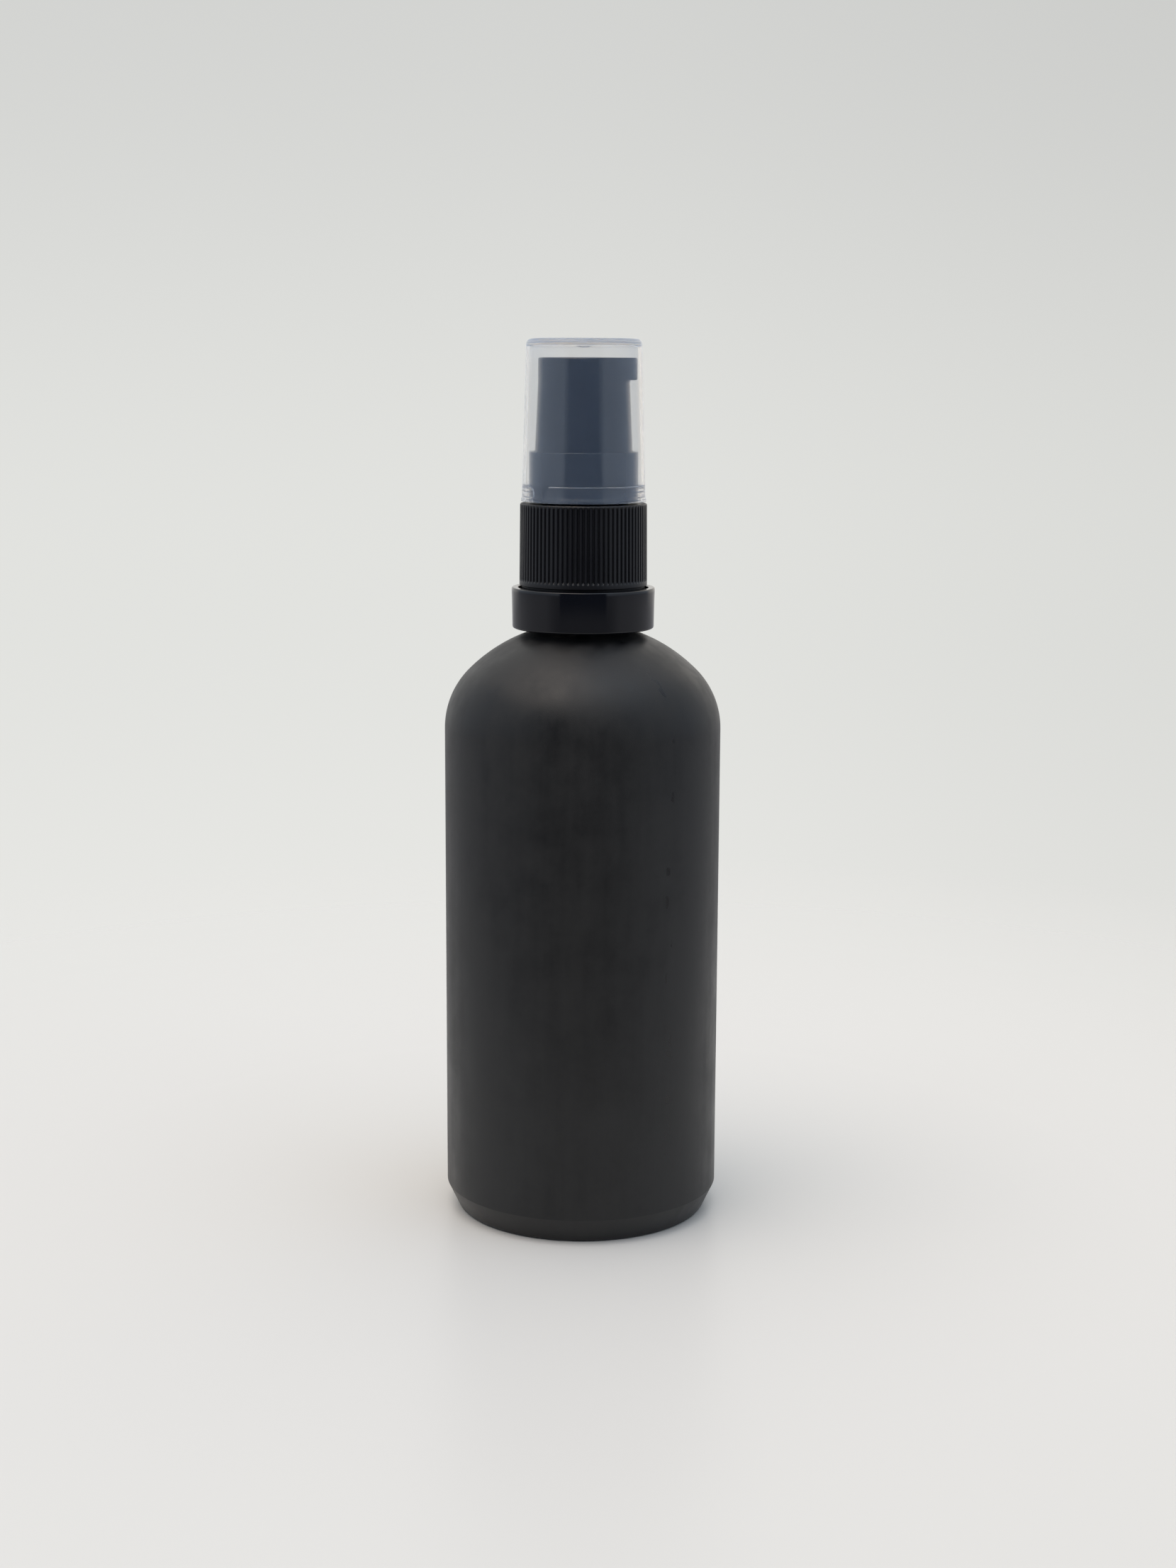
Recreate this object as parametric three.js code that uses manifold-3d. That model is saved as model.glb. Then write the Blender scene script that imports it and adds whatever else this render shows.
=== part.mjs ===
// A 100 ml coated glass bottle with a screw-on lotion pump and a clear overcap.
// Millimetres, +Z up. The origin is the centre of the base and the spout points along +X.

import * as THREE from 'three';
import { mergeVertices } from 'three/addons/utils/BufferGeometryUtils.js';
import Module from 'manifold-3d';

const wasm = await Module();
wasm.setup();

// ---- Driving dimensions -------------------------------------------------------------------

const SIDES = 40;                 // facets round a large piece
const SMALL_SIDES = 24;           // facets round a piece inside the pump
const GAP = 0.3;                  // clearance between pieces that touch on the real object

const BODY_RADIUS = 23.65;
const GLASS = 2.7;                // wall thickness of the glass
const HEEL_TOP = 4.45;            // the conical heel meets the straight wall here
const BASE_RADIUS = 20.3;         // outer edge of the flat ring the bottle stands on
const BASE_HOLLOW_RADIUS = 17.2;  // inner edge of that ring
const BASE_THICKNESS = 5.2;
const SHOULDER_START = 84.8;
const SHOULDER_RADIUS = 14;       // lower arc of the shoulder
const UPPER_SHOULDER_RADIUS = 28; // flatter arc that runs up to the neck
const SHOULDER_TURN = Math.PI / 4;

const RIM_Z = 117;                // top of the glass
const BORE_RADIUS = 5.6;          // mouth of the bottle
const NECK_RADIUS = 8.1;          // glass below the thread
const NECK_FOOT_RADIUS = 8.8;     // glass between the shoulder and the bead
const NECK_FOOT_Z = 101.9;
const BEAD_RADIUS = 9.75;         // bead that holds the tamper-evident ring down
const BEAD_LOW = 103.9;
const BEAD_HIGH = 106.2;

const PITCH = 3;                  // one turn of the screw thread
const GLASS_THREAD_RADIUS = 9;
const CLOSURE_THREAD_RADIUS = 8.55;
const THREAD_ROOT_WIDTH = 1.3;
const THREAD_CREST_WIDTH = 0.7;
const THREAD_EMBED = 0.2;         // how far a ridge sinks into its wall
const THREAD_START = 108.9;       // centre of the glass thread where it begins
const THREAD_OFFSET = -1.25;      // the closure's thread lies this far below the glass thread

const RING_LOW = 102;
const RING_HIGH = 108.95;
const RING_RADIUS = 12.18;
const RING_FOOT_RADIUS = 12.05;
const RING_BORE = 11.1;
const RING_TABS = 8;

const CLOSURE_LOW = 106.6;
const CLOSURE_STEP = 109.3;       // below this the skirt is thinner and runs inside the ring
const CLOSURE_HIGH = 123.1;
const CLOSURE_FOOT_RADIUS = 10.84;
const CLOSURE_HEAD_RADIUS = 10.74;
const SKIRT_RADIUS = 10.45;
const CLOSURE_BORE = 9.4;
const CLOSURE_ROOF = 1.7;
const CLOSURE_HOLE = 7.95;        // the turret's neck passes through here
const RIBS = 80;
const RIB_DEPTH = 0.34;
const RIB_LOW = 110.2;
const RIB_HIGH = 122.5;

const FLANGE_Z = RIM_Z + 1.4;     // underside of the housing's flange, on the gasket
const FLANGE_RADIUS = 9.1;
const FLANGE_FLOOR = FLANGE_Z + 1.2;
const CLOSURE_ROOF_Z = CLOSURE_HIGH - CLOSURE_ROOF;
const BARREL_RADIUS = 4.6;
const CYLINDER_BORE = 3.6;        // the piston slides in here
const SPRING_SEAT = 94;
const COLLAR_HIGH = 123;          // top of the housing's collar
const COLLAR_RADIUS = 6.45;
const COLLAR_BORE = 5.4;

const TURRET_LOW = CLOSURE_HIGH + GAP;
const TURRET_HIGH = 131.8;
const TURRET_FOOT_RADIUS = 9.25;
const TURRET_HEAD_RADIUS = 9.22;
const TURRET_BORE = 8.6;
const TURRET_FLOOR = 124.8;
const TURRET_NECK = 7.6;

const STEM_RADIUS = 2.1;
const STEM_BORE = 1.05;
const STEM_LOW = 108.6;
const STEM_HIGH = 141;

const BALL_RADIUS = 1.45;
const BALL_Z = 90.4;
const TUBE_RADIUS = 1.5;
const TUBE_BORE = 0.9;

const WIRE_RADIUS = 0.3;
const SPRING_RADIUS = 2.75;       // to the middle of the wire
const SPRING_TURNS = 7;

const ACTUATOR_LOW = 130.3;
const ACTUATOR_HIGH = 147.3;
const ACTUATOR_FOOT_RADIUS = 8.28;
const ACTUATOR_HEAD_RADIUS = 7.72;
const ACTUATOR_WALL = 0.9;
const SPOUT_LOW = 143.6;
const SPOUT_REACH = 8.85;
const SPOUT_HALF_WIDTH = 1.9;
const CHANNEL_RADIUS = 0.6;

const CAP_LOW = 123.45;
const CAP_HIGH = 150.45;
const CAP_FOOT_RADIUS = 10.48;
const CAP_HEAD_RADIUS = 9.72;
const CAP_CORNER = 1;
const CAP_WALL = 0.58;
const CAP_ROOF = 1.15;
const GRIP_HIGH = 126.2;          // top of the band that grips the turret
const GRIP_RADIUS = TURRET_FOOT_RADIUS + GAP;
const GRIP_GAPS = 2;              // the band is two segments with these gaps between them
const GRIP_GAP_ANGLE = THREE.MathUtils.degToRad(41);

// ---- Solids -------------------------------------------------------------------------------

// Points of a round stretch, as [radius, z], about the given centre.
function arc(centreR, centreZ, radius, from, to, steps) {
  return Array.from({ length: steps + 1 }, (_, i) => {
    const angle = from + ((to - from) * i) / steps;
    return [centreR + radius * Math.cos(angle), centreZ + radius * Math.sin(angle)];
  });
}

// Turns a closed outline of [radius, z] points, listed anticlockwise, about the Z axis.
function revolve(outline, sides = SIDES) {
  const points = [...outline, outline[0]].map(([r, z]) => new THREE.Vector2(r, z));
  return new THREE.LatheGeometry(points, sides).rotateX(Math.PI / 2);
}

function weld(geometry) {
  geometry.deleteAttribute('normal');
  geometry.deleteAttribute('uv');
  return mergeVertices(geometry);
}

function toSolid(geometry) {
  const mesh = weld(geometry);
  const corners = mesh.index.array;
  const triVerts = [];
  for (let i = 0; i < corners.length; i += 3) {
    const [a, b, c] = corners.slice(i, i + 3);
    if (a !== b && b !== c && c !== a) {
      triVerts.push(a, b, c);
    }
  }
  const vertProperties = mesh.attributes.position.array;
  return new wasm.Manifold(new wasm.Mesh({
    numProp: 3, vertProperties, triVerts: new Uint32Array(triVerts),
  }));
}

function toGeometry(solid) {
  const mesh = solid.getMesh();
  const geometry = new THREE.BufferGeometry();
  geometry.setAttribute('position', new THREE.BufferAttribute(mesh.vertProperties, 3));
  geometry.setIndex(new THREE.BufferAttribute(mesh.triVerts, 1));
  geometry.computeVertexNormals();
  return geometry;
}

function join(base, extras) {
  return extras.reduce((solid, extra) => solid.add(toSolid(extra)), base);
}

function cut(base, tools) {
  return tools.reduce((solid, tool) => solid.subtract(toSolid(tool)), base);
}

// Copies of one geometry, evenly spaced about the Z axis.
function aroundAxis(geometry, count, firstAngle = 0) {
  return Array.from({ length: count }, (_, i) => (
    geometry.clone().rotateZ(firstAngle + (2 * Math.PI * i) / count)));
}

// A flat outline of [x, y] points pushed up from z = low to z = high.
function extrudeUp(outline, low, high, hole = null) {
  const shape = new THREE.Shape(outline.map(([x, y]) => new THREE.Vector2(x, y)));
  if (hole) {
    shape.holes.push(new THREE.Path(hole.map(([x, y]) => new THREE.Vector2(x, y))));
  }
  return new THREE.ExtrudeGeometry(shape, { depth: high - low, bevelEnabled: false })
    .translate(0, 0, low);
}

// An outline in the [radius, z] plane given a thickness across it, centred on the X axis.
function radialSlab(outline, width) {
  return extrudeUp(outline, -width / 2, width / 2).rotateX(Math.PI / 2);
}

function disc(radius, sides) {
  return arc(0, 0, radius, 0, 2 * Math.PI, sides).slice(0, -1);
}

// One screw-thread ridge, a trapezoid swept along a right-hand helix. It fades into its wall
// at both ends. The root is the larger radius on the closure and the smaller one on the glass.
function threadRidge(rootRadius, crestRadius, startZ, turns) {
  const steps = Math.round(turns * SIDES);
  const fadeSteps = SIDES / 8;
  const outward = crestRadius > rootRadius;
  const positions = [];
  const indices = [];
  for (let i = 0; i <= steps; i++) {
    const angle = (2 * Math.PI * i) / SIDES;
    const z = startZ + (PITCH * i) / SIDES;
    const fade = Math.min(1, (i + 1) / fadeSteps, (steps - i + 1) / fadeSteps);
    const crest = rootRadius + (crestRadius - rootRadius) * fade;
    const side = outward ? -1 : 1;
    const section = [
      [rootRadius, (side * THREAD_ROOT_WIDTH) / 2], [crest, (side * THREAD_CREST_WIDTH) / 2],
      [crest, (-side * THREAD_CREST_WIDTH) / 2], [rootRadius, (-side * THREAD_ROOT_WIDTH) / 2],
    ];
    for (const [r, rise] of section) {
      positions.push(r * Math.cos(angle), r * Math.sin(angle), z + rise);
    }
  }
  for (let i = 0; i < steps; i++) {
    for (let j = 0; j < 4; j++) {
      const a = 4 * i + j;
      const b = 4 * i + ((j + 1) % 4);
      indices.push(a, a + 4, b, a + 4, b + 4, b);
    }
  }
  const last = 4 * steps;
  indices.push(0, 1, 2, 0, 2, 3, last, last + 2, last + 1, last, last + 3, last + 2);
  const geometry = new THREE.BufferGeometry();
  geometry.setAttribute('position', new THREE.Float32BufferAttribute(positions, 3));
  geometry.setIndex(indices);
  return geometry;
}

// A closed coil at each end, with open turns between them.
class SpringCurve extends THREE.Curve {
  constructor(low, high) {
    super();
    this.low = low;
    this.high = high;
  }

  getPoint(t, target = new THREE.Vector3()) {
    const endRise = 2.4 * WIRE_RADIUS;
    const openRise = (this.high - this.low - 2 * endRise) / (SPRING_TURNS - 2);
    const turn = SPRING_TURNS * t;
    const open = Math.min(Math.max(turn - 1, 0), SPRING_TURNS - 2);
    const closed = turn - open;
    const angle = 2 * Math.PI * turn;
    return target.set(
      SPRING_RADIUS * Math.cos(angle),
      SPRING_RADIUS * Math.sin(angle),
      this.low + closed * endRise + open * openRise,
    );
  }
}

// ---- Bottle -------------------------------------------------------------------------------

// The shoulder's two tangent arcs, drawn in by the given wall thickness and ending at a radius.
function shoulder(inset, endRadius, steps) {
  const lowerCentre = BODY_RADIUS - SHOULDER_RADIUS;
  const shift = (SHOULDER_RADIUS - UPPER_SHOULDER_RADIUS) * Math.SQRT1_2;
  const upperR = lowerCentre + shift;
  const upperZ = SHOULDER_START + shift;
  const upperRadius = UPPER_SHOULDER_RADIUS - inset;
  const end = Math.acos((endRadius - upperR) / upperRadius);
  return [
    ...arc(lowerCentre, SHOULDER_START, SHOULDER_RADIUS - inset, 0, SHOULDER_TURN, steps),
    ...arc(upperR, upperZ, upperRadius, SHOULDER_TURN, end, steps).slice(1),
  ];
}

function bottle() {
  const inside = BODY_RADIUS - GLASS;
  const corner = 5;
  const outline = [
    [0, 1.6], [9, 1.3], [BASE_HOLLOW_RADIUS - 1, 0.7], [BASE_HOLLOW_RADIUS, 0],
    [BASE_RADIUS, 0], [BASE_RADIUS + 0.95, 0.35], [BASE_RADIUS + 1.55, 1.1],
    [BODY_RADIUS, HEEL_TOP],
    ...shoulder(0, 9.2, 4),
    [NECK_FOOT_RADIUS, NECK_FOOT_Z], [NECK_FOOT_RADIUS, BEAD_LOW],
    [BEAD_RADIUS, BEAD_LOW + 0.6], [BEAD_RADIUS, BEAD_HIGH - 0.7], [NECK_RADIUS, BEAD_HIGH],
    [NECK_RADIUS, RIM_Z - 0.4], [NECK_RADIUS - 0.4, RIM_Z],
    [BORE_RADIUS + 0.4, RIM_Z], [BORE_RADIUS, RIM_Z - 0.4], [BORE_RADIUS, 101],
    ...shoulder(GLASS, 6.8, 3).reverse(),
    ...arc(inside - corner, BASE_THICKNESS + corner, corner, 0, -Math.PI / 2, 3),
    [0, BASE_THICKNESS + 1],
  ];
  const points = outline.map(([r, z]) => new THREE.Vector2(r, z));
  const blank = new THREE.LatheGeometry(points, SIDES).rotateX(Math.PI / 2);
  const thread = threadRidge(NECK_RADIUS - THREAD_EMBED, GLASS_THREAD_RADIUS, THREAD_START, 1.75);
  return toGeometry(join(toSolid(blank), [thread]));
}

// ---- Closure and tamper-evident ring ------------------------------------------------------

function tamperEvidentRing() {
  const wall = revolve([
    [RING_BORE + 0.2, RING_LOW], [RING_FOOT_RADIUS - 0.35, RING_LOW],
    [RING_FOOT_RADIUS, RING_LOW + 0.35], [RING_RADIUS, RING_HIGH - 0.3],
    [RING_RADIUS - 0.25, RING_HIGH], [RING_BORE + 0.15, RING_HIGH],
    [RING_BORE, RING_HIGH - 0.15], [RING_BORE, RING_LOW + 0.2],
  ]);
  // Flaps that catch under the bead, and the stubs of the bridges to the closure above it.
  const flap = radialSlab([
    [RING_BORE + 0.3, RING_LOW + 0.4], [RING_BORE + 0.3, RING_LOW + 1.3],
    [NECK_FOOT_RADIUS + 0.5, RING_LOW + 1.7], [NECK_FOOT_RADIUS + 0.4, RING_LOW + 1.1],
  ].reverse(), 2.6);
  const stub = radialSlab([
    [BEAD_RADIUS + 0.35, BEAD_HIGH - 0.35], [RING_BORE + 0.3, BEAD_HIGH - 0.35],
    [RING_BORE + 0.3, BEAD_HIGH + 0.1], [BEAD_RADIUS + 0.35, BEAD_HIGH + 0.1],
  ], 0.8);
  const halfStep = Math.PI / RING_TABS;
  return toGeometry(join(toSolid(wall), [
    ...aroundAxis(flap, RING_TABS), ...aroundAxis(stub, RING_TABS, halfStep),
  ]));
}

// Everything outside the ribs: a thick ring whose inner outline dips into each groove.
function grooveCutter() {
  const step = (2 * Math.PI) / RIBS;
  const outside = CLOSURE_FOOT_RADIUS + 0.25;
  const outline = [];
  for (let i = 0; i < RIBS; i++) {
    for (const [turn, radius] of [[-0.3, outside], [0, CLOSURE_HEAD_RADIUS - RIB_DEPTH], [0.3, outside]]) {
      const angle = step * (i + turn);
      outline.push([radius * Math.cos(angle), radius * Math.sin(angle)]);
    }
  }
  return extrudeUp(disc(CLOSURE_FOOT_RADIUS + 1, SIDES), RIB_LOW, RIB_HIGH, outline.reverse());
}

function closure() {
  const blank = revolve([
    [CLOSURE_BORE, CLOSURE_LOW], [SKIRT_RADIUS, CLOSURE_LOW], [SKIRT_RADIUS, CLOSURE_STEP],
    [CLOSURE_FOOT_RADIUS, CLOSURE_STEP], [CLOSURE_HEAD_RADIUS, CLOSURE_HIGH - 0.5],
    [CLOSURE_HEAD_RADIUS - 0.15, CLOSURE_HIGH - 0.15], [CLOSURE_HEAD_RADIUS - 0.5, CLOSURE_HIGH],
    [CLOSURE_HOLE, CLOSURE_HIGH], [CLOSURE_HOLE, CLOSURE_ROOF_Z], [CLOSURE_BORE, CLOSURE_ROOF_Z],
  ]);
  const threadZ = THREAD_START + THREAD_OFFSET;
  const thread = threadRidge(CLOSURE_BORE + THREAD_EMBED, CLOSURE_THREAD_RADIUS, threadZ, 1.5);
  return toGeometry(cut(join(toSolid(blank), [thread]), [grooveCutter()]));
}

function neckGasket() {
  const low = RIM_Z + 0.2;
  const high = FLANGE_Z - 0.2;
  return revolve([[5, low], [8, low], [8, high], [5, high]], SMALL_SIDES);
}

// ---- Pump ---------------------------------------------------------------------------------

function pumpHousing() {
  const tubeSocket = TUBE_RADIUS + 0.35;
  const throat = 1.3;
  const chamber = BALL_RADIUS + 0.45;
  const seatHole = 0.9;
  return revolve([
    [tubeSocket, 82], [3, 82], [3, 88.5], [BARREL_RADIUS, 91], [BARREL_RADIUS, FLANGE_Z],
    [FLANGE_RADIUS, FLANGE_Z], [FLANGE_RADIUS, CLOSURE_ROOF_Z - GAP],
    [TURRET_NECK + 0.35, CLOSURE_ROOF_Z - GAP], [TURRET_NECK + 0.35, FLANGE_FLOOR],
    [COLLAR_RADIUS, FLANGE_FLOOR], [COLLAR_RADIUS, COLLAR_HIGH], [COLLAR_BORE, COLLAR_HIGH],
    [COLLAR_BORE, FLANGE_FLOOR + 0.2], [CYLINDER_BORE, FLANGE_Z + 0.4], [CYLINDER_BORE, SPRING_SEAT],
    [throat, SPRING_SEAT], [throat, 93.2], [chamber, 93.2], [chamber, 89.9],
    [seatHole, 88.9], [seatHole, 88.3], [tubeSocket, 88.3],
  ], SMALL_SIDES);
}

function chaplet() {
  const plug = COLLAR_BORE - GAP;
  const sleeve = CYLINDER_BORE - GAP;
  const sleeveLow = 116.7;
  const bore = STEM_RADIUS + 0.35;
  const flangeZ = COLLAR_HIGH + GAP;
  return revolve([
    [bore, sleeveLow], [sleeve, sleeveLow], [sleeve, FLANGE_Z + 0.9],
    [plug, FLANGE_FLOOR + 0.7], [plug, flangeZ],
    [COLLAR_RADIUS - 0.05, flangeZ], [COLLAR_RADIUS - 0.05, TURRET_FLOOR - GAP],
    [bore, TURRET_FLOOR - GAP],
  ], SMALL_SIDES);
}

function turret() {
  return revolve([
    [COLLAR_RADIUS + GAP, FLANGE_FLOOR + GAP], [TURRET_NECK, FLANGE_FLOOR + GAP],
    [TURRET_NECK, TURRET_LOW], [TURRET_FOOT_RADIUS, TURRET_LOW],
    [TURRET_HEAD_RADIUS, TURRET_HIGH - 0.3], [TURRET_HEAD_RADIUS - 0.25, TURRET_HIGH],
    [TURRET_BORE, TURRET_HIGH], [TURRET_BORE, TURRET_FLOOR + 1.2], [4, TURRET_FLOOR + 1.2],
    [4, TURRET_FLOOR], [COLLAR_RADIUS + GAP, TURRET_FLOOR],
  ]);
}

function stem() {
  const stopLow = 115;
  const stopRadius = 3;
  const portZ = 110.1;
  const tube = revolve([
    [STEM_BORE, STEM_LOW], [STEM_RADIUS, STEM_LOW], [STEM_RADIUS, stopLow],
    [stopRadius, stopLow], [stopRadius, stopLow + 0.6], [STEM_RADIUS, stopLow + 0.6],
    [STEM_RADIUS, STEM_HIGH - 0.5], [STEM_RADIUS - 0.3, STEM_HIGH], [STEM_BORE, STEM_HIGH],
  ], SMALL_SIDES);
  // Two ports let liquid into the stem once it has moved down through the piston.
  const port = new THREE.CylinderGeometry(0.4, 0.4, 2 * STEM_RADIUS + 1, 8).translate(0, 0, portZ);
  return toGeometry(cut(toSolid(tube), [port]));
}

function piston() {
  const bore = STEM_RADIUS + 0.25;
  const lip = CYLINDER_BORE - 0.18;
  const sleeve = bore + 0.4;
  const skirt = 3.05;
  return revolve([
    [bore, STEM_LOW], [sleeve, STEM_LOW], [sleeve, 110.8], [skirt, 110.8], [skirt, 109.4],
    [lip, 109], [lip, 109.4], [lip - 0.1, 111.3], [lip, 113.1], [lip, 113.5],
    [skirt, 113.1], [skirt, 111.8], [sleeve, 111.8], [sleeve, 113.9], [bore, 113.9],
  ], SMALL_SIDES);
}

function pistonSeat() {
  const top = STEM_LOW - GAP;
  const plug = STEM_BORE - 0.3;
  return new THREE.LatheGeometry([
    [0, top - 3.1], [1.9, top - 3.1], [2.1, top - 2.8], [2.1, top - 1.1], [3, top - 1.1],
    [3, top - 0.4], [2.6, top], [plug, top], [plug, top + 0.8], [0, top + 0.8],
  ].map(([r, z]) => new THREE.Vector2(r, z)), SMALL_SIDES).rotateX(Math.PI / 2);
}

function returnSpring() {
  const low = SPRING_SEAT + GAP + WIRE_RADIUS;
  const high = STEM_LOW - 1.1 - 2 * GAP - WIRE_RADIUS;
  const section = new THREE.Shape(disc(WIRE_RADIUS, 6).map(([x, y]) => new THREE.Vector2(x, y)));
  return new THREE.ExtrudeGeometry(section, {
    steps: SPRING_TURNS * 10, extrudePath: new SpringCurve(low, high), bevelEnabled: false,
  });
}

function inletBall() {
  return new THREE.SphereGeometry(BALL_RADIUS, 12, 8).rotateX(Math.PI / 2).translate(0, 0, BALL_Z);
}

// The tube leaves the housing straight down, then bows over to the corner of the bottle.
function dipTube() {
  const route = new THREE.CatmullRomCurve3([
    [0, 88], [0, 84], [-0.1, 79], [-1.6, 66], [-5.2, 46], [-10.3, 26], [-15.8, 7.6],
  ].map(([x, z]) => new THREE.Vector3(x, 0, z)));
  const section = new THREE.Shape(disc(TUBE_RADIUS, 10).map(([x, y]) => new THREE.Vector2(x, y)));
  section.holes.push(new THREE.Path(
    disc(TUBE_BORE, 10).reverse().map(([x, y]) => new THREE.Vector2(x, y))));
  return new THREE.ExtrudeGeometry(section, {
    steps: 16, extrudePath: route, bevelEnabled: false,
  });
}

// ---- Actuator and overcap -----------------------------------------------------------------

// Plan of the spout: a beak whose sides touch the body and narrow to the tip.
function spoutPlan() {
  const tipDistance = Math.hypot(SPOUT_REACH, SPOUT_HALF_WIDTH);
  const tipAngle = Math.atan2(SPOUT_HALF_WIDTH, SPOUT_REACH);
  const touch = tipAngle + Math.acos(ACTUATOR_HEAD_RADIUS / tipDistance);
  const inset = ACTUATOR_HEAD_RADIUS - 0.1;
  const half = [
    [0, 2.8], [inset * Math.cos(touch), inset * Math.sin(touch)],
    [SPOUT_REACH, SPOUT_HALF_WIDTH],
  ];
  return [...half.map(([x, y]) => [x, -y]), ...half.reverse()];
}

function actuator() {
  const ceiling = ACTUATOR_HIGH - 1.4;
  const footBore = ACTUATOR_FOOT_RADIUS - ACTUATOR_WALL;
  const headBore = ACTUATOR_HEAD_RADIUS - ACTUATOR_WALL;
  const socketBore = STEM_RADIUS + GAP;
  const socket = 3.4;
  const channelZ = (SPOUT_LOW + ACTUATOR_HIGH) / 2 - 0.2;
  const outline = [
    [socketBore, ACTUATOR_LOW + 0.2], [socket, ACTUATOR_LOW + 0.2], [socket, ceiling],
    [headBore, ceiling], [footBore, ACTUATOR_LOW], [ACTUATOR_FOOT_RADIUS, ACTUATOR_LOW],
    [ACTUATOR_HEAD_RADIUS, ACTUATOR_HIGH - 0.4], [ACTUATOR_HEAD_RADIUS - 0.3, ACTUATOR_HIGH],
    [0, ACTUATOR_HIGH], [0, STEM_HIGH + GAP], [socketBore, STEM_HIGH + GAP],
  ];
  const body = toSolid(revolve(outline));
  const spout = extrudeUp(spoutPlan(), SPOUT_LOW, ACTUATOR_HIGH);
  const riser = new THREE.CylinderGeometry(STEM_BORE, STEM_BORE, channelZ - STEM_HIGH, 12)
    .rotateX(Math.PI / 2).translate(0, 0, (channelZ + STEM_HIGH) / 2);
  const channel = new THREE.CylinderGeometry(CHANNEL_RADIUS, CHANNEL_RADIUS, SPOUT_REACH + 1, 12)
    .rotateZ(Math.PI / 2).translate((SPOUT_REACH + 1) / 2, 0, channelZ);
  return toGeometry(cut(join(body, [spout]), [riser, channel]));
}

function overcap() {
  const cornerZ = CAP_HIGH - CAP_CORNER;
  const cornerR = CAP_HEAD_RADIUS - CAP_CORNER;
  const ceiling = CAP_HIGH - CAP_ROOF;
  const shell = new THREE.LatheGeometry([
    [0, ceiling - 0.5], [0.9, ceiling - 0.4], [1.45, ceiling],
    [cornerR, ceiling], [CAP_HEAD_RADIUS - CAP_WALL, ceiling - 0.5],
    [CAP_FOOT_RADIUS - CAP_WALL, CAP_LOW], [CAP_FOOT_RADIUS, CAP_LOW],
    ...arc(cornerR, cornerZ, CAP_CORNER, 0, Math.PI / 2, 3),
    [1.2, CAP_HIGH], [0.9, CAP_HIGH - 0.35], [0, CAP_HIGH - 0.4],
  ].map(([r, z]) => new THREE.Vector2(r, z)), SIDES).rotateX(Math.PI / 2);
  const band = revolve([
    [GRIP_RADIUS + 0.2, CAP_LOW], [CAP_FOOT_RADIUS - 0.2, CAP_LOW],
    [CAP_FOOT_RADIUS - 0.2, GRIP_HIGH], [GRIP_RADIUS, GRIP_HIGH], [GRIP_RADIUS, CAP_LOW + 1.3],
  ]);
  const notch = new THREE.BoxGeometry(4, 2.6, 4).translate(CAP_FOOT_RADIUS, 0, CAP_LOW + 1);
  const grip = cut(toSolid(band), aroundAxis(notch, GRIP_GAPS, GRIP_GAP_ANGLE));
  return toGeometry(toSolid(shell).add(grip));
}

// ---- Assembly -----------------------------------------------------------------------------

const FINISHES = {
  coatedGlass: { color: '#262628', roughness: 0.62, metalness: 0 },
  satinBlack: { color: '#19191b', roughness: 0.5, metalness: 0 },
  glossBlack: { color: '#131417', roughness: 0.18, metalness: 0 },
  clear: { color: '#e9ecea', roughness: 0.12, metalness: 0, transparent: true, opacity: 0.35 },
  naturalPlastic: { color: '#e6e5df', roughness: 0.45, metalness: 0 },
  softSeal: { color: '#d8d8d4', roughness: 0.7, metalness: 0 },
  steel: { color: '#b9bcc0', roughness: 0.25, metalness: 1 },
};

const PIECES = [
  ['bottle', bottle, 'coatedGlass'],
  ['tamper_evident_ring', tamperEvidentRing, 'glossBlack'],
  ['closure', closure, 'satinBlack'],
  ['neck_gasket', neckGasket, 'softSeal'],
  ['pump_housing', pumpHousing, 'naturalPlastic'],
  ['chaplet', chaplet, 'naturalPlastic'],
  ['turret', turret, 'glossBlack'],
  ['stem', stem, 'naturalPlastic'],
  ['piston', piston, 'naturalPlastic'],
  ['piston_seat', pistonSeat, 'naturalPlastic'],
  ['return_spring', returnSpring, 'steel'],
  ['inlet_ball', inletBall, 'steel'],
  ['dip_tube', dipTube, 'naturalPlastic'],
  ['actuator', actuator, 'glossBlack'],
  ['overcap', overcap, 'clear'],
];

const assembly = new THREE.Group();
for (const [name, make, finish] of PIECES) {
  const mesh = new THREE.Mesh(make(), new THREE.MeshStandardMaterial(FINISHES[finish]));
  mesh.name = name;
  assembly.add(mesh);
}

export default assembly;
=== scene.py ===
"""The looks of a coated glass bottle with a lotion pump and a clear overcap.

Outlines are lists of (radius, height) in millimetres, anticlockwise, about the bottle's axis.
A third number rounds that corner. Meshes are made in metres in the frame's own coordinates.
"""

import math

import bpy
import numpy as np
from mathutils import Matrix, Vector


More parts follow.
